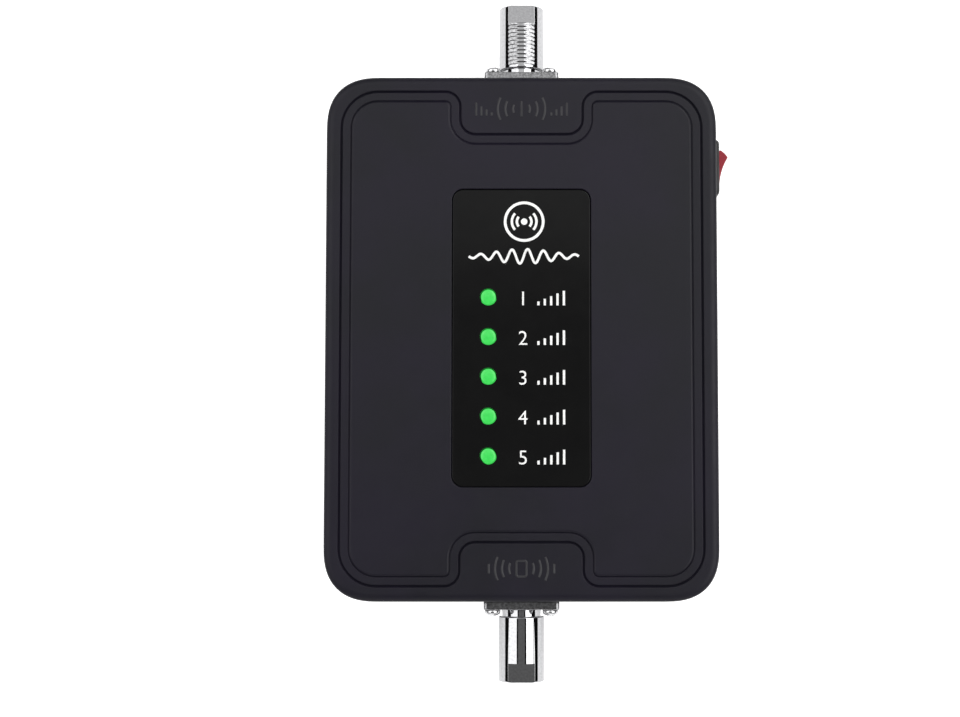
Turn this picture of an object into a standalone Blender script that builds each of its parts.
"""Cellular signal booster: a moulded box with two coaxial jacks, a display window and a rocker switch.

Metres, +Z up. The box lies on its rubber feet with the display face up. +Y points along the box to the
jack of the outside antenna, -Y to the jack of the inside antenna, and +X to the wall with the switch.
The origin is at the bottom centre of the whole object, rocker tip and jacks included.
"""

import math

import bmesh
import bpy
from mathutils import Matrix, Vector

MM = 0.001
GAP = 0.3 * MM
OVERLAP = 0.5 * MM

# The box
BODY_HALF_X = 51.0 * MM
BODY_HALF_Y = 68.3 * MM
BODY_CORNER = 14.0 * MM
CORNER_POWER = 2.5
BODY_BOTTOM = 1.5 * MM
PARTING_HEIGHT = 4.5 * MM
FACE_HEIGHT = 29.5 * MM
EDGE_ROUND = 1.4 * MM
WALL = 2.4 * MM
CEILING = FACE_HEIGHT - WALL

# The line pressed into the face, the raised panel inside it, and the tabs that both lines run round
LINE_INSET = 4.0 * MM
LINE_CORNER = 9.5 * MM
LINE_HALF_WIDTH = 0.4 * MM
LINE_DEPTH = 0.5 * MM
TAB_HALF_WIDTH = 16.0 * MM
TAB_DEPTH = 11.25 * MM
TAB_FLARE = 3.9 * MM
TAB_CORNER = 4.0 * MM
PANEL_INSET = 2.7 * MM
PANEL_RISE = 0.35 * MM
PANEL_SLOPE = 0.2 * MM
PANEL_HEIGHT = FACE_HEIGHT + PANEL_RISE

# Display window and indicators
WINDOW_HALF_X = 17.9 * MM
WINDOW_HALF_Y = 38.6 * MM
WINDOW_CENTRE_Y = -0.2 * MM
WINDOW_CORNER = 2.8 * MM
WINDOW_THICKNESS = 1.3 * MM
WINDOW_RECESS = 0.2 * MM
WINDOW_PLAY = 0.15 * MM
LIGHT_COUNT = 5
LIGHT_X = -8.6 * MM
LIGHT_TOP_Y = 10.3 * MM
LIGHT_PITCH = 10.3 * MM
LIGHT_RADIUS = 1.95 * MM
LIGHT_HOLE_RADIUS = 2.2 * MM
LIGHT_PROUD = 0.1 * MM

# Circuit board and what it carries
BOARD_BOTTOM = 13.0 * MM
BOARD_TOP = 14.6 * MM
BOARD_HALF_X = 46.0 * MM
BOARD_HALF_Y = 62.0 * MM
BOARD_CORNER_CUT = 9.0 * MM
BOARD_SCREW_X = 28.0 * MM
BOARD_SCREW_Y = 56.0 * MM
BOARD_SCREW_RADIUS = 1.1 * MM
BOARD_HOLE_RADIUS = 1.4 * MM
BOARD_BOSS_RADIUS = 3.0 * MM
HEAT_PLATE_BOTTOM = 6.0 * MM
HEAT_PLATE_TOP = 10.0 * MM
HEAT_PLATE_HALF_X = 40.0 * MM
HEAT_PLATE_HALF_Y = 59.0 * MM
HEAT_PLATE_CORNER = 6.0 * MM

# Rear cover fixings and feet
COVER_SCREW_X = 42.6 * MM
COVER_SCREW_Y = 59.6 * MM
COVER_SCREW_RADIUS = 1.3 * MM
COVER_HEAD_RADIUS = 2.5 * MM
COVER_BOSS_RADIUS = 3.6 * MM
COUNTERBORE_RADIUS = 3.0 * MM
COUNTERBORE_DEPTH = 1.7 * MM
FOOT_X = 33.0 * MM
FOOT_Y = 50.0 * MM
FOOT_RADIUS = 6.0 * MM
FOOT_POCKET_DEPTH = 0.5 * MM

# Coaxial jacks; heights along a jack are counted from the outside of the end wall
AXIS_HEIGHT = 15.5 * MM
JACK_REACH = 21.25 * MM
JACK_RADIUS = 6.0 * MM
JACK_NECK_RADIUS = 5.05 * MM
JACK_NECK_TOP = 4.2 * MM
FLANGE_HALF = 9.8 * MM
FLANGE_BOTTOM = 0.1 * MM
FLANGE_TOP = 2.2 * MM
SPIGOT_RADIUS = 3.2 * MM
SPIGOT_DEPTH = 2.2 * MM
SOCKET_RADIUS = 3.9 * MM
SOCKET_FLOOR = 12.0 * MM
FLAT_DISTANCE = 4.9 * MM
FLAT_LENGTH = 4.9 * MM
INSULATOR_RADIUS = 2.5 * MM
CONTACT_RADIUS = 1.1 * MM
FLANGE_SCREW_OFFSET = 7.5 * MM
FLANGE_SCREW_RADIUS = 1.0 * MM
FLANGE_HEAD_RADIUS = 2.0 * MM
FLANGE_HEAD_HEIGHT = 1.6 * MM
JACK_PAD_HALF = 10.5 * MM
JACK_PAD_DEPTH = 2.0 * MM

# Rocker switch; depths are counted outwards from the outside of the side wall
SWITCH_Y = 45.9 * MM
BEZEL_HALF_LENGTH = 7.5 * MM
BEZEL_HALF_WIDTH = 5.25 * MM
BEZEL_TOP = 1.6 * MM
HOUSING_HALF_LENGTH = 6.6 * MM
HOUSING_HALF_WIDTH = 4.6 * MM
HOUSING_DEPTH = 10.4 * MM
CAVITY_HALF_LENGTH = 5.9 * MM
CAVITY_HALF_WIDTH = 4.0 * MM
CAVITY_DEPTH = 8.4 * MM
PIVOT_DEPTH = 0.9 * MM
ROCKER_TILT = 16.5
ROCKER_RADIUS = 5.6 * MM
ROCKER_TIP_ANGLE = 46.5
ROCKER_END_ANGLE = 75.0
ROCKER_HOLLOW = 0.55 * MM
ROCKER_HALF_WIDTH = 3.7 * MM
TRUNNION_RADIUS = 1.0 * MM
TRUNNION_REACH = 4.45 * MM
PLUNGER_REACH = 4.3 * MM
PLUNGER_RADIUS = 0.7 * MM
BLADE_TILT = 8.0
BLADE_PIVOT_DEPTH = 5.65 * MM
BLADE_HALF_LENGTH = 4.6 * MM
BLADE_HALF_THICKNESS = 0.25 * MM
TERMINAL_END = 16.9 * MM
COMMON_TERMINAL_TOP = 6.2 * MM
LOAD_TERMINAL_TOP = 6.65 * MM
LOAD_TERMINAL_Y = 4.1 * MM
TERMINAL_HALF_WIDTH = 1.2 * MM
TERMINAL_HALF_THICKNESS = 0.4 * MM

# Power inlet on the same wall as the switch
INLET_Y = 20.0 * MM
INLET_HEIGHT = 20.9 * MM
INLET_BODY_HALF_WIDTH = 4.5 * MM
INLET_BODY_INNER_X = 37.0 * MM
INLET_NOSE_RADIUS = 4.0 * MM
INLET_BORE_RADIUS = 2.9 * MM
INLET_BORE_DEPTH = 9.5 * MM
INLET_PIN_RADIUS = 1.0 * MM

CORNER_STEPS = 5
TAB_STEPS = 3
EDGE_STEPS = 3
ROUND_SIDES = 24
SCREW_SIDES = 12

# The rocker's tip stands out of one wall only, so the box sits half of that reach off the origin.
TIP_REACH = (
    ROCKER_RADIUS * math.cos(math.radians(ROCKER_TIP_ANGLE - ROCKER_TILT)) - PIVOT_DEPTH
)

MATERIALS = {
    "shell_plastic": ((0.032, 0.031, 0.038), 0.62, 0.0),
    "window_gloss": ((0.008, 0.008, 0.009), 0.12, 0.0),
    "light_pipe": ((0.05, 0.80, 0.12), 0.25, 0.0),
    "led_body": ((0.80, 0.80, 0.70), 0.40, 0.0),
    "chrome": ((0.78, 0.78, 0.80), 0.12, 1.0),
    "screw_steel": ((0.60, 0.60, 0.62), 0.28, 1.0),
    "insulator": ((0.85, 0.85, 0.82), 0.45, 0.0),
    "gold_contact": ((0.83, 0.62, 0.28), 0.25, 1.0),
    "switch_black": ((0.012, 0.012, 0.013), 0.35, 0.0),
    "switch_red": ((0.45, 0.03, 0.045), 0.30, 0.0),
    "copper": ((0.80, 0.45, 0.30), 0.30, 1.0),
    "board_green": ((0.02, 0.16, 0.07), 0.45, 0.0),
    "tin_shield": ((0.62, 0.62, 0.60), 0.35, 1.0),
    "ceramic": ((0.55, 0.52, 0.46), 0.50, 0.0),
    "aluminium": ((0.72, 0.73, 0.75), 0.38, 1.0),
    "thermal_pad": ((0.35, 0.42, 0.55), 0.80, 0.0),
    "rubber": ((0.015, 0.015, 0.015), 0.85, 0.0),
    "capacitor_sleeve": ((0.03, 0.03, 0.05), 0.40, 0.0),
    "ferrite": ((0.06, 0.06, 0.06), 0.60, 0.0),
}


def clear_scene():
    for obj in list(bpy.data.objects):
        bpy.data.objects.remove(obj)


def make_material(name):
    colour, roughness, metallic = MATERIALS[name]
    material = bpy.data.materials.new(name)
    material.use_nodes = True
    shader = material.node_tree.nodes["Principled BSDF"]
    shader.inputs["Base Color"].default_value = (*colour, 1.0)
    shader.inputs["Roughness"].default_value = roughness
    shader.inputs["Metallic"].default_value = metallic
    return material


# Outlines and meshes


def arc(centre_x, centre_y, radius, start, end, steps):
    """Points on an arc from one angle to another, in degrees, both ends included."""
    points = []
    for step in range(steps + 1):
        angle = math.radians(start + (end - start) * step / steps)
        points.append((centre_x + radius * math.cos(angle), centre_y + radius * math.sin(angle)))
    return points


def with_far_half(points):
    """Adds the same outline turned half a turn, which closes a shape with two alike ends."""
    return points + [(-x, -y) for x, y in points]


def rounded_rectangle(half_x, half_y, radius, steps=CORNER_STEPS):
    near = arc(half_x - radius, half_y - radius, radius, 0, 90, steps)
    far = arc(radius - half_x, half_y - radius, radius, 90, 180, steps)
    return with_far_half(near + far)


def soft_corner(half_x, half_y, size):
    """A corner that eases into its two sides, from the side at +X to the side at +Y."""
    points = []
    for step in range(CORNER_STEPS + 1):
        angle = math.pi / 2 * step / CORNER_STEPS
        x = half_x - size + size * math.cos(angle) ** (2 / CORNER_POWER)
        y = half_y - size + size * math.sin(angle) ** (2 / CORNER_POWER)
        points.append((x, y))
    return points


def body_outline(inset, between=()):
    """The box's outline moved inwards, with extra points between the corners of each end."""
    near = soft_corner(BODY_HALF_X - inset, BODY_HALF_Y - inset, BODY_CORNER - inset)
    far = [(-x, y) for x, y in reversed(near)]
    return with_far_half(near + list(between) + far)


def body_ring(inset, z):
    """The box's outline, with as many points over each tab as line_ring has round it."""
    tab_reach = TAB_HALF_WIDTH + TAB_FLARE
    last = 4 * (TAB_STEPS + 1) - 1
    over_tab = [(tab_reach * (1 - 2 * i / last), BODY_HALF_Y - inset) for i in range(last + 1)]
    return [(x, y, z) for x, y in body_outline(inset, over_tab)]


def line_ring(inset, z):
    """The line on the face, moved inwards by inset, with its run round each tab."""
    half_x = BODY_HALF_X - LINE_INSET - inset
    half_y = BODY_HALF_Y - LINE_INSET - inset
    radius = LINE_CORNER - inset
    flare = TAB_FLARE - inset
    corner = TAB_CORNER + inset
    flare_x = TAB_HALF_WIDTH + TAB_FLARE
    corner_x = TAB_HALF_WIDTH - TAB_CORNER
    corner_y = half_y - TAB_DEPTH + corner
    points = arc(half_x - radius, half_y - radius, radius, 0, 90, CORNER_STEPS)
    points += arc(flare_x, half_y - flare, flare, 90, 180, TAB_STEPS)
    points += arc(corner_x, corner_y, corner, 0, -90, TAB_STEPS)
    points += arc(-corner_x, corner_y, corner, -90, -180, TAB_STEPS)
    points += arc(-flare_x, half_y - flare, flare, 0, 90, TAB_STEPS)
    points += arc(radius - half_x, half_y - radius, radius, 90, 180, CORNER_STEPS)
    return [(x, y, z) for x, y in with_far_half(points)]


def edge_round(radius, steps=EDGE_STEPS):
    """Inset and rise along a quarter round, from the side to the face."""
    angles = [math.radians(90 * step / steps) for step in range(1, steps + 1)]
    return [(radius * (1 - math.cos(a)), radius * math.sin(a)) for a in angles]


def finish_mesh(mesh_builder, name):
    """Turns a bmesh into a mesh that faces outwards and is smooth where it is round."""
    bmesh.ops.recalc_face_normals(mesh_builder, faces=mesh_builder.faces)
    mesh = bpy.data.meshes.new(name)
    mesh_builder.to_mesh(mesh)
    mesh_builder.free()
    mesh.shade_smooth()
    mesh.set_sharp_from_angle(angle=math.radians(35))
    return mesh


def loft_mesh(name, rings, closed=False):
    """A solid through rings of equally many points. A closed one joins its last ring to its first."""
    builder = bmesh.new()
    loops = [[builder.verts.new(point) for point in ring] for ring in rings]
    pairs = list(zip(loops, loops[1:]))
    if closed:
        pairs.append((loops[-1], loops[0]))
    else:
        builder.faces.new(loops[0])
        builder.faces.new(loops[-1])
    for lower, upper in pairs:
        for i in range(len(lower)):
            j = (i + 1) % len(lower)
            builder.faces.new((lower[i], lower[j], upper[j], upper[i]))
    return finish_mesh(builder, name)


def prism_mesh(name, outline, low, high):
    return loft_mesh(name, [[(x, y, z) for x, y in outline] for z in (low, high)])


def box_mesh(name, low, high):
    outline = [(low[0], low[1]), (high[0], low[1]), (high[0], high[1]), (low[0], high[1])]
    return prism_mesh(name, outline, low[2], high[2])


def round_ring(radius, z, sides):
    angles = [2 * math.pi * i / sides for i in range(sides)]
    return [(radius * math.cos(a), radius * math.sin(a), z) for a in angles]


def turned_mesh(name, profile, sides=ROUND_SIDES, closed=False):
    """A solid turned about local Z from (radius, height) points. A closed profile makes a tube."""
    return loft_mesh(name, [round_ring(radius, z, sides) for radius, z in profile], closed)


def many_cylinders_mesh(name, centres, radius, low, high, sides=SCREW_SIDES):
    """Separate upright cylinders in one mesh, for cutting or for adding bosses."""
    builder = bmesh.new()
    for x, y in centres:
        bmesh.ops.create_cone(
            builder,
            cap_ends=True,
            segments=sides,
            radius1=radius,
            radius2=radius,
            depth=high - low,
            matrix=Matrix.Translation((x, y, (low + high) / 2)),
        )
    return finish_mesh(builder, name)


# Objects


def add_node(name, mesh, material, location=(0, 0, 0), rotation=(0, 0, 0)):
    if material.name not in mesh.materials:
        mesh.materials.append(material)
    obj = bpy.data.objects.new(name, mesh)
    obj.location = location
    obj.rotation_euler = rotation
    obj.parent = BOX
    bpy.context.scene.collection.objects.link(obj)
    return obj


def add_tool(mesh, location=(0, 0, 0), rotation=(0, 0, 0)):
    """A helper body for a Boolean, which is no part of the object."""
    tool = bpy.data.objects.new("tool_" + mesh.name, mesh)
    tool.location = location
    tool.rotation_euler = rotation
    tool.parent = BOX
    tool.hide_render = True
    tool.display_type = "WIRE"
    bpy.context.scene.collection.objects.link(tool)
    return tool


def apply_tool(obj, tool, operation):
    modifier = obj.modifiers.new(operation.lower() + "_" + tool.name, "BOOLEAN")
    modifier.operation = operation
    modifier.solver = "EXACT"
    modifier.object = tool


def cut(obj, tool):
    apply_tool(obj, tool, "DIFFERENCE")


def join(obj, tool):
    apply_tool(obj, tool, "UNION")


def four_corners(x, y):
    return [(x, y), (-x, y), (-x, -y), (x, -y)]


def pan_head_profile(head_radius, head_height, shank_radius, shank_length):
    """A pan-head screw with its seat at zero height and its head above."""
    return [
        (shank_radius, -shank_length),
        (shank_radius, 0),
        (head_radius, 0),
        (head_radius, head_height * 0.45),
        (head_radius * 0.82, head_height * 0.85),
        (head_radius * 0.45, head_height),
    ]


# Covers, window, feet


def make_front_cover(material):
    rim = PARTING_HEIGHT + GAP
    shoulder = FACE_HEIGHT - EDGE_ROUND
    rings = [
        body_ring(WALL, CEILING),
        body_ring(WALL, rim),
        body_ring(0, rim),
        body_ring(0, shoulder),
    ]
    rings += [body_ring(inset, shoulder + rise) for inset, rise in edge_round(EDGE_ROUND)]
    line_floor = FACE_HEIGHT - LINE_DEPTH
    rings += [
        line_ring(-LINE_HALF_WIDTH, FACE_HEIGHT),
        line_ring(-LINE_HALF_WIDTH / 2, line_floor),
        line_ring(LINE_HALF_WIDTH / 2, line_floor),
        line_ring(LINE_HALF_WIDTH, FACE_HEIGHT),
        line_ring(PANEL_INSET - PANEL_SLOPE, FACE_HEIGHT),
        line_ring(PANEL_INSET + PANEL_SLOPE, PANEL_HEIGHT),
    ]
    cover = add_node("front_cover", loft_mesh("front_cover", rings), material)
    add_cover_bosses(cover)
    cut_face_openings(cover)
    cut_wall_openings(cover)


def add_cover_bosses(cover):
    cover_bosses = many_cylinders_mesh(
        "cover_bosses",
        four_corners(COVER_SCREW_X, COVER_SCREW_Y),
        COVER_BOSS_RADIUS,
        PARTING_HEIGHT + GAP,
        CEILING + OVERLAP,
    )
    board_bosses = many_cylinders_mesh(
        "board_bosses",
        four_corners(BOARD_SCREW_X, BOARD_SCREW_Y),
        BOARD_BOSS_RADIUS,
        BOARD_TOP + GAP,
        CEILING + OVERLAP,
    )
    join(cover, add_tool(cover_bosses))
    join(cover, add_tool(board_bosses))
    for side in (1, -1):
        inner_face = side * (BODY_HALF_Y - WALL - JACK_PAD_DEPTH)
        outer_face = side * (BODY_HALF_Y - OVERLAP)
        pad = box_mesh(
            "jack_pad",
            (-JACK_PAD_HALF, min(inner_face, outer_face), AXIS_HEIGHT - FLANGE_HALF),
            (JACK_PAD_HALF, max(inner_face, outer_face), CEILING + OVERLAP),
        )
        join(cover, add_tool(pad))


def cut_face_openings(cover):
    pocket_floor = PANEL_HEIGHT - WINDOW_RECESS - WINDOW_THICKNESS - WINDOW_PLAY
    pocket = rounded_rectangle(
        WINDOW_HALF_X + WINDOW_PLAY,
        WINDOW_HALF_Y + WINDOW_PLAY,
        WINDOW_CORNER + WINDOW_PLAY,
    )
    pocket_mesh = prism_mesh("window_pocket", pocket, pocket_floor, PANEL_HEIGHT + OVERLAP)
    cut(cover, add_tool(pocket_mesh, (0, WINDOW_CENTRE_Y, 0)))
    holes = many_cylinders_mesh(
        "light_holes",
        light_places(),
        LIGHT_HOLE_RADIUS,
        CEILING - OVERLAP,
        PANEL_HEIGHT,
        sides=ROUND_SIDES,
    )
    cut(cover, add_tool(holes))
    cover_pilots = many_cylinders_mesh(
        "cover_pilots",
        four_corners(COVER_SCREW_X, COVER_SCREW_Y),
        COVER_SCREW_RADIUS + GAP / 3,
        0,
        PARTING_HEIGHT + 12 * MM,
    )
    board_pilots = many_cylinders_mesh(
        "board_pilots",
        four_corners(BOARD_SCREW_X, BOARD_SCREW_Y),
        BOARD_SCREW_RADIUS + GAP / 3,
        BOARD_TOP,
        BOARD_TOP + 8 * MM,
    )
    cut(cover, add_tool(cover_pilots))
    cut(cover, add_tool(board_pilots))


def cut_wall_openings(cover):
    depth = WALL + JACK_PAD_DEPTH + OVERLAP
    bore = turned_mesh(
        "jack_bore", [(SPIGOT_RADIUS + GAP, -depth), (SPIGOT_RADIUS + GAP, OVERLAP)], SCREW_SIDES * 2
    )
    screw_holes = many_cylinders_mesh(
        "flange_screw_holes",
        four_corners(FLANGE_SCREW_OFFSET, FLANGE_SCREW_OFFSET),
        FLANGE_SCREW_RADIUS + GAP / 3,
        -depth,
        OVERLAP,
        sides=8,
    )
    for side in (1, -1):
        location, rotation = jack_place(side)
        cut(cover, add_tool(bore, location, rotation))
        cut(cover, add_tool(screw_holes, location, rotation))
    cutout_half_y = HOUSING_HALF_LENGTH + GAP / 2
    cutout_half_z = HOUSING_HALF_WIDTH + GAP / 2
    cutout = box_mesh(
        "switch_cutout",
        (BODY_HALF_X - WALL - OVERLAP, SWITCH_Y - cutout_half_y, AXIS_HEIGHT - cutout_half_z),
        (BODY_HALF_X + OVERLAP, SWITCH_Y + cutout_half_y, AXIS_HEIGHT + cutout_half_z),
    )
    cut(cover, add_tool(cutout))
    inlet_radius = INLET_NOSE_RADIUS + GAP
    inlet_hole = turned_mesh("inlet_hole", [(inlet_radius, -WALL - OVERLAP), (inlet_radius, OVERLAP)])
    cut(cover, add_tool(inlet_hole, (BODY_HALF_X, INLET_Y, INLET_HEIGHT), (0, math.pi / 2, 0)))


def make_rear_cover(material):
    rings = []
    for inset, rise in reversed(edge_round(EDGE_ROUND)):
        rings.append([(x, y, BODY_BOTTOM + EDGE_ROUND - rise) for x, y in body_outline(inset)])
    for z in (BODY_BOTTOM + EDGE_ROUND, PARTING_HEIGHT):
        rings.append([(x, y, z) for x, y in body_outline(0)])
    cover = add_node("rear_cover", loft_mesh("rear_cover", rings), material)
    add_locating_ribs(cover)
    counterbores = many_cylinders_mesh(
        "counterbores",
        four_corners(COVER_SCREW_X, COVER_SCREW_Y),
        COUNTERBORE_RADIUS,
        0,
        BODY_BOTTOM + COUNTERBORE_DEPTH,
    )
    screw_holes = many_cylinders_mesh(
        "cover_screw_holes",
        four_corners(COVER_SCREW_X, COVER_SCREW_Y),
        COVER_SCREW_RADIUS + GAP / 2,
        0,
        PARTING_HEIGHT + OVERLAP,
    )
    foot_pockets = many_cylinders_mesh(
        "foot_pockets",
        four_corners(FOOT_X, FOOT_Y),
        FOOT_RADIUS + GAP,
        0,
        BODY_BOTTOM + FOOT_POCKET_DEPTH,
        sides=ROUND_SIDES,
    )
    cut(cover, add_tool(counterbores))
    cut(cover, add_tool(screw_holes))
    cut(cover, add_tool(foot_pockets))


def add_locating_ribs(cover):
    """Four straight ribs that stand just inside the shell's walls, clear of the corner bosses."""
    outer_x = BODY_HALF_X - WALL - GAP
    outer_y = BODY_HALF_Y - WALL - GAP
    thickness = 1.4 * MM
    low = PARTING_HEIGHT - OVERLAP
    high = PARTING_HEIGHT + 1.1 * MM
    for side in (1, -1):
        side_x = sorted((side * outer_x, side * (outer_x - thickness)))
        side_y = sorted((side * outer_y, side * (outer_y - thickness)))
        long_rib = box_mesh("long_rib", (side_x[0], -46 * MM, low), (side_x[1], 46 * MM, high))
        short_rib = box_mesh("short_rib", (-30 * MM, side_y[0], low), (30 * MM, side_y[1], high))
        join(cover, add_tool(long_rib))
        join(cover, add_tool(short_rib))


def make_cover_screws(material):
    shank_length = 13 * MM
    profile = pan_head_profile(COVER_HEAD_RADIUS, 1.3 * MM, COVER_SCREW_RADIUS, shank_length)
    mesh = turned_mesh("rear_cover_screw", profile, SCREW_SIDES)
    seat = BODY_BOTTOM + COUNTERBORE_DEPTH - GAP / 3
    for number, (x, y) in enumerate(four_corners(COVER_SCREW_X, COVER_SCREW_Y), 1):
        add_node(f"rear_cover_screw_{number}", mesh, material, (x, y, seat), (math.pi, 0, 0))


def make_feet(material):
    top = BODY_BOTTOM + FOOT_POCKET_DEPTH - GAP / 3
    profile = [
        (FOOT_RADIUS - 0.6 * MM, 0),
        (FOOT_RADIUS, 0.5 * MM),
        (FOOT_RADIUS, top),
    ]
    mesh = turned_mesh("rubber_foot", profile)
    for number, (x, y) in enumerate(four_corners(FOOT_X, FOOT_Y), 1):
        add_node(f"rubber_foot_{number}", mesh, material, (x, y, 0))


def light_places():
    return [(LIGHT_X, LIGHT_TOP_Y - LIGHT_PITCH * i) for i in range(LIGHT_COUNT)]


def make_window(material):
    outline = rounded_rectangle(WINDOW_HALF_X, WINDOW_HALF_Y, WINDOW_CORNER)
    top = PANEL_HEIGHT - WINDOW_RECESS
    mesh = prism_mesh("display_window", outline, top - WINDOW_THICKNESS, top)
    window = add_node("display_window", mesh, material, (0, WINDOW_CENTRE_Y, 0))
    holes = many_cylinders_mesh(
        "window_holes",
        light_places(),
        LIGHT_HOLE_RADIUS,
        CEILING,
        PANEL_HEIGHT + OVERLAP,
        sides=ROUND_SIDES,
    )
    cut(window, add_tool(holes))


def make_lights(pipe_material, led_material):
    led_top = BOARD_TOP + GAP + 1.1 * MM
    pipe_top = PANEL_HEIGHT - WINDOW_RECESS + LIGHT_PROUD
    profile = [
        (LIGHT_RADIUS, led_top + GAP),
        (LIGHT_RADIUS, pipe_top - 0.15 * MM),
        (LIGHT_RADIUS - 0.15 * MM, pipe_top),
    ]
    pipe = turned_mesh("light_pipe", profile, 20)
    led = box_mesh("led", (-1.6 * MM, -1.4 * MM, BOARD_TOP + GAP), (1.6 * MM, 1.4 * MM, led_top))
    for number, (x, y) in enumerate(light_places(), 1):
        add_node(f"light_pipe_{number}", pipe, pipe_material, (x, y, 0))
        add_node(f"led_{number}", led, led_material, (x, y, 0))


# Electronics inside


def make_main_board(material):
    """A board with its corners cut away for the cover's bosses and its side for the switch."""
    cut_x = BOARD_HALF_X - BOARD_CORNER_CUT
    cut_y = BOARD_HALF_Y - BOARD_CORNER_CUT
    switch_x = BODY_HALF_X - TERMINAL_END - 1.5 * MM
    switch_low = SWITCH_Y - HOUSING_HALF_LENGTH - 1.5 * MM
    outline = [
        (cut_x, -BOARD_HALF_Y),
        (cut_x, -cut_y),
        (BOARD_HALF_X, -cut_y),
        (BOARD_HALF_X, switch_low),
        (switch_x, switch_low),
        (switch_x, BOARD_HALF_Y),
        (-cut_x, BOARD_HALF_Y),
        (-cut_x, cut_y),
        (-BOARD_HALF_X, cut_y),
        (-BOARD_HALF_X, -cut_y),
        (-cut_x, -cut_y),
        (-cut_x, -BOARD_HALF_Y),
    ]
    mesh = prism_mesh("main_board", outline, BOARD_BOTTOM, BOARD_TOP)
    board = add_node("main_board", mesh, material)
    holes = many_cylinders_mesh(
        "board_holes",
        four_corners(BOARD_SCREW_X, BOARD_SCREW_Y),
        BOARD_HOLE_RADIUS,
        BOARD_BOTTOM - OVERLAP,
        BOARD_TOP + OVERLAP,
    )
    cut(board, add_tool(holes))


def make_heat_plate(material):
    outline = rounded_rectangle(HEAT_PLATE_HALF_X, HEAT_PLATE_HALF_Y, HEAT_PLATE_CORNER)
    mesh = prism_mesh("heat_plate", outline, HEAT_PLATE_BOTTOM, HEAT_PLATE_TOP)
    plate = add_node("heat_plate", mesh, material)
    corners = four_corners(BOARD_SCREW_X, BOARD_SCREW_Y)
    spacer_top = BOARD_BOTTOM - GAP
    spacers = many_cylinders_mesh(
        "spacers", corners, 2.6 * MM, HEAT_PLATE_TOP - OVERLAP, spacer_top
    )
    holes = many_cylinders_mesh(
        "plate_holes", corners, BOARD_HOLE_RADIUS, HEAT_PLATE_BOTTOM - OVERLAP, BOARD_BOTTOM
    )
    join(plate, add_tool(spacers))
    cut(plate, add_tool(holes))


def make_board_screws(material):
    seat = HEAT_PLATE_BOTTOM - GAP / 3
    shank_length = BOARD_TOP + 6 * MM - seat
    profile = pan_head_profile(2.1 * MM, 0.85 * MM, BOARD_SCREW_RADIUS, shank_length)
    mesh = turned_mesh("board_screw", profile, SCREW_SIDES)
    for number, (x, y) in enumerate(four_corners(BOARD_SCREW_X, BOARD_SCREW_Y), 1):
        add_node(f"board_screw_{number}", mesh, material, (x, y, seat), (math.pi, 0, 0))


def make_board_parts(materials):
    """Blocks on the board's top, each given by its centre, half sizes and height."""
    base = BOARD_TOP + GAP
    blocks = {
        "uplink_shield_can": ("tin_shield", -28, -10, 13, 26, 5.0),
        "downlink_shield_can": ("tin_shield", 17, -14, 15, 22, 5.0),
        "outside_duplexer": ("ceramic", 0, 48, 15, 5.5, 6.5),
        "inside_duplexer": ("ceramic", 0, -48, 15, 5.5, 6.5),
        "power_inductor": ("ferrite", 10, 20, 5, 5, 4.2),
    }
    for name, (material, x, y, half_x, half_y, height) in blocks.items():
        outline = rounded_rectangle(half_x * MM, half_y * MM, 0.8 * MM, 2)
        mesh = prism_mesh(name, outline, base, base + height * MM)
        add_node(name, mesh, materials[material], (x * MM, y * MM, 0))
    can_radius = 4.0 * MM
    can_profile = [
        (can_radius, base),
        (can_radius, base + 1.2 * MM),
        (can_radius - 0.3 * MM, base + 1.6 * MM),
        (can_radius, base + 2.0 * MM),
        (can_radius, base + 9.6 * MM),
        (can_radius - 0.4 * MM, base + 10.0 * MM),
    ]
    mesh = turned_mesh("power_capacitor", can_profile, 20)
    add_node("power_capacitor", mesh, materials["capacitor_sleeve"], (24 * MM, 22 * MM, 0))


def make_thermal_pads(material):
    low = HEAT_PLATE_TOP + GAP
    high = BOARD_BOTTOM - GAP
    for name, x, half_x in (("uplink_thermal_pad", -28, 10), ("downlink_thermal_pad", 17, 12)):
        mesh = box_mesh(name, (-half_x * MM, -18 * MM, low), (half_x * MM, 18 * MM, high))
        add_node(name, mesh, material, (x * MM, -12 * MM, 0))


# Coaxial jacks


def jack_place(side):
    """Where a jack's own upright axis starts, and how it is laid down to point out of its wall."""
    return (0, side * BODY_HALF_Y, AXIS_HEIGHT), (-side * math.pi / 2, 0, 0)


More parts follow.
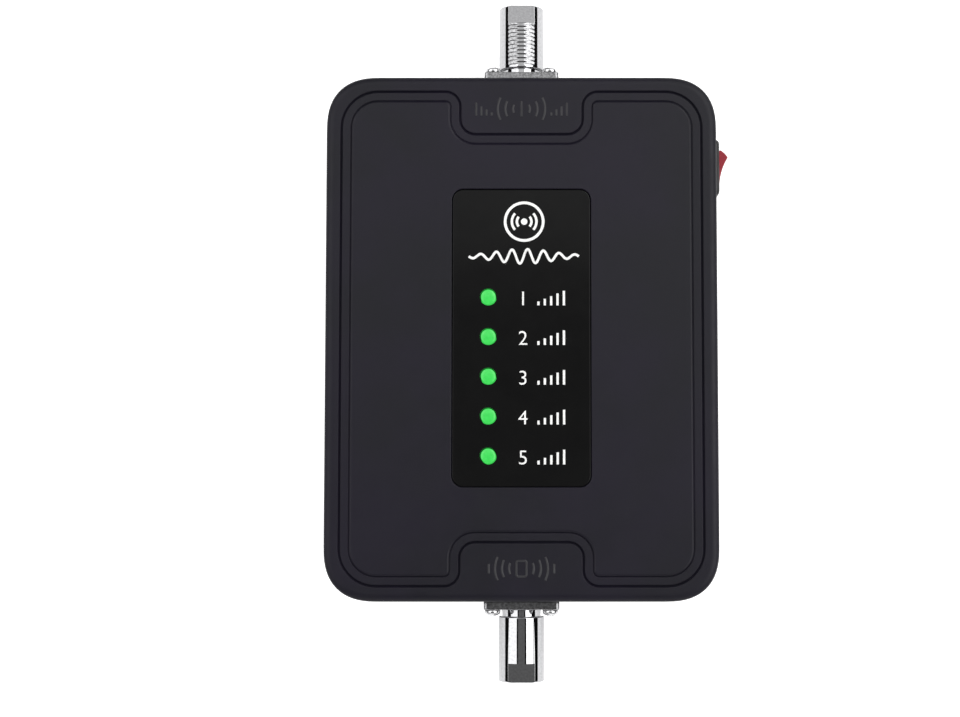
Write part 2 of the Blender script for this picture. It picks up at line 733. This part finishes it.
def jack_shell_mesh_and_tools():
    chamfer = 0.4 * MM
    outer = [
        (SPIGOT_RADIUS, -SPIGOT_DEPTH),
        (SPIGOT_RADIUS, FLANGE_BOTTOM),
        (JACK_NECK_RADIUS, FLANGE_BOTTOM),
        (JACK_NECK_RADIUS, JACK_NECK_TOP),
        (JACK_RADIUS - chamfer, JACK_NECK_TOP),
        (JACK_RADIUS, JACK_NECK_TOP + chamfer),
        (JACK_RADIUS, JACK_REACH - chamfer),
        (JACK_RADIUS - chamfer, JACK_REACH),
    ]
    passage = INSULATOR_RADIUS + GAP / 3
    bore = [
        (passage, -SPIGOT_DEPTH - OVERLAP),
        (passage, SOCKET_FLOOR),
        (SOCKET_RADIUS, SOCKET_FLOOR),
        (SOCKET_RADIUS, JACK_REACH + OVERLAP),
    ]
    flange_outline = rounded_rectangle(FLANGE_HALF, FLANGE_HALF, 0.8 * MM, 2)
    flange = prism_mesh("jack_flange", flange_outline, FLANGE_BOTTOM, FLANGE_TOP)
    bore_tool = turned_mesh("jack_shell_bore", bore)
    holes = many_cylinders_mesh(
        "flange_holes",
        four_corners(FLANGE_SCREW_OFFSET, FLANGE_SCREW_OFFSET),
        FLANGE_SCREW_RADIUS + GAP / 2,
        FLANGE_BOTTOM - OVERLAP,
        FLANGE_TOP + OVERLAP,
        sides=SCREW_SIDES,
    )
    flats = []
    for side in (1, -1):
        near, far = sorted((side * FLAT_DISTANCE, side * 2 * JACK_RADIUS))
        low = (-2 * JACK_RADIUS, near, JACK_REACH - FLAT_LENGTH)
        flats.append(box_mesh("wrench_flat", low, (2 * JACK_RADIUS, far, JACK_REACH + OVERLAP)))
    return turned_mesh("jack_shell", outer), flange, [bore_tool, holes, *flats]


def make_jack(name, side, meshes, materials):
    """One coaxial jack: shell with flange, insulator and centre contact, and its four screws."""
    location, rotation = jack_place(side)
    shell = add_node(f"{name}_jack_shell", meshes["shell"].copy(), materials["chrome"], location, rotation)
    join(shell, add_tool(meshes["flange"], location, rotation))
    for tool_mesh in meshes["shell_cuts"]:
        cut(shell, add_tool(tool_mesh, location, rotation))
    add_node(
        f"{name}_jack_insulator", meshes["insulator"], materials["insulator"], location, rotation
    )
    add_node(f"{name}_jack_contact", meshes["contact"], materials["gold_contact"], location, rotation)
    into_wall = Matrix.LocRotScale(Vector(location), None, None)
    turn = Matrix.Rotation(rotation[0], 4, "X")
    corners = four_corners(FLANGE_SCREW_OFFSET, FLANGE_SCREW_OFFSET)
    for number, (x, y) in enumerate(corners, 1):
        seat = into_wall @ turn @ Vector((x, y, FLANGE_TOP + GAP / 3))
        add_node(
            f"{name}_flange_screw_{number}", meshes["screw"], materials["screw_steel"], seat, rotation
        )


def make_jacks(materials):
    shell, flange, shell_cuts = jack_shell_mesh_and_tools()
    contact_passage = CONTACT_RADIUS + GAP / 3
    insulator = [
        (contact_passage, -3.8 * MM),
        (INSULATOR_RADIUS, -3.8 * MM),
        (INSULATOR_RADIUS, SOCKET_FLOOR),
        (INSULATOR_RADIUS - 0.2 * MM, JACK_REACH - 2.0 * MM),
        (contact_passage, JACK_REACH - 2.0 * MM),
    ]
    contact = [
        (0.65 * MM, -9 * MM),
        (0.65 * MM, -3.5 * MM),
        (CONTACT_RADIUS, -3.5 * MM),
        (CONTACT_RADIUS, JACK_REACH - 2.4 * MM),
        (0.55 * MM, JACK_REACH - 2.4 * MM),
        (0.55 * MM, JACK_REACH - 7.0 * MM),
    ]
    screw = pan_head_profile(FLANGE_HEAD_RADIUS, FLANGE_HEAD_HEIGHT, FLANGE_SCREW_RADIUS, 5.6 * MM)
    meshes = {
        "shell": shell,
        "flange": flange,
        "shell_cuts": shell_cuts,
        "insulator": turned_mesh("jack_insulator", insulator, 20, closed=True),
        "contact": turned_mesh("jack_contact", contact, SCREW_SIDES),
        "screw": turned_mesh("flange_screw", screw, SCREW_SIDES),
    }
    make_jack("outside", 1, meshes, materials)
    make_jack("inside", -1, meshes, materials)


# Rocker switch


def make_switch_housing(material):
    """A body that goes in through the wall, a bezel that stays outside, and a hollow for the rocker."""
    outline = rounded_rectangle(HOUSING_HALF_LENGTH, HOUSING_HALF_WIDTH, 0.6 * MM, 2)
    body = prism_mesh("switch_body", outline, -HOUSING_DEPTH, 0.4 * MM)
    housing = add_node("switch_housing", body, material, *switch_place())
    bezel_base = 0.1 * MM
    rings = []
    for inset, z in ((0, bezel_base), (0, 0.8 * MM), (0.35 * MM, 1.4 * MM), (0.9 * MM, BEZEL_TOP)):
        bezel = rounded_rectangle(BEZEL_HALF_LENGTH - inset, BEZEL_HALF_WIDTH - inset, 1.5 * MM - inset)
        rings.append([(x, y, z) for x, y in bezel])
    join(housing, add_tool(loft_mesh("switch_bezel", rings), *switch_place()))
    cavity = box_mesh(
        "switch_cavity",
        (-CAVITY_HALF_LENGTH, -CAVITY_HALF_WIDTH, -CAVITY_DEPTH),
        (CAVITY_HALF_LENGTH, CAVITY_HALF_WIDTH, BEZEL_TOP + OVERLAP),
    )
    cut(housing, add_tool(cavity, *switch_place()))
    reach = HOUSING_HALF_WIDTH + GAP / 2
    radius = TRUNNION_RADIUS + GAP / 2
    trunnion_hole = turned_mesh("trunnion_hole", [(radius, -reach), (radius, reach)], 16)
    cut(housing, add_tool(trunnion_hole, pivot_place()))
    for along in (0, LOAD_TERMINAL_Y):
        half_width = TERMINAL_HALF_WIDTH + GAP / 2
        half_thickness = TERMINAL_HALF_THICKNESS + GAP / 2
        slot = box_mesh(
            "terminal_slot",
            (along - half_width, -half_thickness, -HOUSING_DEPTH - OVERLAP),
            (along + half_width, half_thickness, -CAVITY_DEPTH + OVERLAP),
        )
        cut(housing, add_tool(slot, *switch_place()))


def switch_place():
    """The switch's own axes: local X along +Y, local Y along +Z, and local Z out of the wall."""
    return (BODY_HALF_X, SWITCH_Y, AXIS_HEIGHT), (math.pi / 2, 0, math.pi / 2)


def pivot_place():
    return (BODY_HALF_X - PIVOT_DEPTH, SWITCH_Y, AXIS_HEIGHT)


def rocker_outline():
    """The rocker seen along its pivot, +X outwards: hollow top, ends that are round about the pivot."""
    tip = math.radians(ROCKER_TIP_ANGLE)
    tip_x = ROCKER_RADIUS * math.cos(tip)
    tip_y = ROCKER_RADIUS * math.sin(tip)
    hollow_radius = (tip_y**2 + ROCKER_HOLLOW**2) / (2 * ROCKER_HOLLOW)
    hollow_x = tip_x - ROCKER_HOLLOW + hollow_radius
    half_spread = math.degrees(math.asin(tip_y / hollow_radius))
    points = arc(hollow_x, 0, hollow_radius, 180 + half_spread, 180 - half_spread, 8)
    points += arc(0, 0, ROCKER_RADIUS, ROCKER_TIP_ANGLE, ROCKER_END_ANGLE, 4)[1:]
    points += [(0.4 * MM, 4.7 * MM), (-1.6 * MM, 1.8 * MM), (-1.6 * MM, -1.8 * MM), (0.4 * MM, -4.7 * MM)]
    points += arc(0, 0, ROCKER_RADIUS, -ROCKER_END_ANGLE, -ROCKER_TIP_ANGLE, 4)[:-1]
    return points


def make_rocker(rocker_material, plunger_material):
    tilt = (0, 0, -math.radians(ROCKER_TILT))
    mesh = prism_mesh("switch_rocker", rocker_outline(), -ROCKER_HALF_WIDTH, ROCKER_HALF_WIDTH)
    rocker = add_node("switch_rocker", mesh, rocker_material, pivot_place(), tilt)
    trunnion_ends = [(TRUNNION_RADIUS, -TRUNNION_REACH), (TRUNNION_RADIUS, TRUNNION_REACH)]
    trunnions = turned_mesh("trunnions", trunnion_ends, 16)
    join(rocker, add_tool(trunnions, pivot_place(), tilt))
    socket_top = 0.8 * MM
    socket_radius = PLUNGER_RADIUS + GAP / 2
    socket = turned_mesh("plunger_socket", [(socket_radius, -3 * MM), (socket_radius, socket_top)], 16)
    plunger_profile = [
        (PLUNGER_RADIUS / 2, -PLUNGER_REACH),
        (PLUNGER_RADIUS, -PLUNGER_REACH + 0.5 * MM),
        (PLUNGER_RADIUS, socket_top - GAP),
    ]
    inwards = (0, math.pi / 2, -math.radians(ROCKER_TILT))
    cut(rocker, add_tool(socket, pivot_place(), inwards))
    plunger = turned_mesh("switch_plunger", plunger_profile, 16)
    add_node("switch_plunger", plunger, plunger_material, pivot_place(), inwards)


def make_contact_blade(material):
    """The see-saw strip that the plunger tips over, on a pivot line of its own."""
    mesh = box_mesh(
        "contact_blade",
        (-BLADE_HALF_THICKNESS, -BLADE_HALF_LENGTH, -1.5 * MM),
        (BLADE_HALF_THICKNESS, BLADE_HALF_LENGTH, 1.5 * MM),
    )
    place = (BODY_HALF_X - BLADE_PIVOT_DEPTH, SWITCH_Y, AXIS_HEIGHT)
    add_node("contact_blade", mesh, material, place, (0, 0, math.radians(BLADE_TILT)))


def make_terminals(material):
    for name, top, along in (
        ("common_terminal", COMMON_TERMINAL_TOP, 0),
        ("load_terminal", LOAD_TERMINAL_TOP, LOAD_TERMINAL_Y),
    ):
        mesh = box_mesh(
            name,
            (along - TERMINAL_HALF_WIDTH, -TERMINAL_HALF_THICKNESS, -TERMINAL_END),
            (along + TERMINAL_HALF_WIDTH, TERMINAL_HALF_THICKNESS, -top),
        )
        add_node(name, mesh, material, *switch_place())


# Power inlet


def make_power_inlet(body_material, pin_material):
    """A barrel jack on the board whose nose fills the hole in the side wall."""
    body = box_mesh(
        "dc_power_jack",
        (INLET_BODY_INNER_X, INLET_Y - INLET_BODY_HALF_WIDTH, BOARD_TOP + GAP),
        (BODY_HALF_X - WALL - GAP, INLET_Y + INLET_BODY_HALF_WIDTH, INLET_HEIGHT + INLET_BODY_HALF_WIDTH),
    )
    jack = add_node("dc_power_jack", body, body_material)
    place = ((BODY_HALF_X, INLET_Y, INLET_HEIGHT), (0, math.pi / 2, 0))
    nose = turned_mesh("inlet_nose", [(INLET_NOSE_RADIUS, -WALL - 1 * MM), (INLET_NOSE_RADIUS, 0)])
    join(jack, add_tool(nose, *place))
    bore = turned_mesh(
        "inlet_bore", [(INLET_BORE_RADIUS, -INLET_BORE_DEPTH), (INLET_BORE_RADIUS, OVERLAP)]
    )
    cut(jack, add_tool(bore, *place))
    pin_seat = INLET_PIN_RADIUS + GAP / 3
    seat = turned_mesh("pin_seat", [(pin_seat, -INLET_BORE_DEPTH - 3 * MM), (pin_seat, 0)], 16)
    cut(jack, add_tool(seat, *place))
    pin_profile = [
        (INLET_PIN_RADIUS, -INLET_BORE_DEPTH - 2.7 * MM),
        (INLET_PIN_RADIUS, -1.8 * MM),
        (INLET_PIN_RADIUS * 0.6, -1.2 * MM),
    ]
    add_node("dc_jack_pin", turned_mesh("dc_jack_pin", pin_profile, 16), pin_material, *place)


clear_scene()
BOX = bpy.data.objects.new("booster", None)
BOX.location = (-TIP_REACH / 2, 0, 0)
bpy.context.scene.collection.objects.link(BOX)
MATERIAL = {name: make_material(name) for name in MATERIALS}

make_front_cover(MATERIAL["shell_plastic"])
make_rear_cover(MATERIAL["shell_plastic"])
make_cover_screws(MATERIAL["screw_steel"])
make_feet(MATERIAL["rubber"])
make_window(MATERIAL["window_gloss"])
make_lights(MATERIAL["light_pipe"], MATERIAL["led_body"])
make_main_board(MATERIAL["board_green"])
make_heat_plate(MATERIAL["aluminium"])
make_board_screws(MATERIAL["screw_steel"])
make_board_parts(MATERIAL)
make_thermal_pads(MATERIAL["thermal_pad"])
make_jacks(MATERIAL)
make_switch_housing(MATERIAL["switch_black"])
make_rocker(MATERIAL["switch_red"], MATERIAL["switch_black"])
make_contact_blade(MATERIAL["copper"])
make_terminals(MATERIAL["copper"])
make_power_inlet(MATERIAL["switch_black"], MATERIAL["gold_contact"])
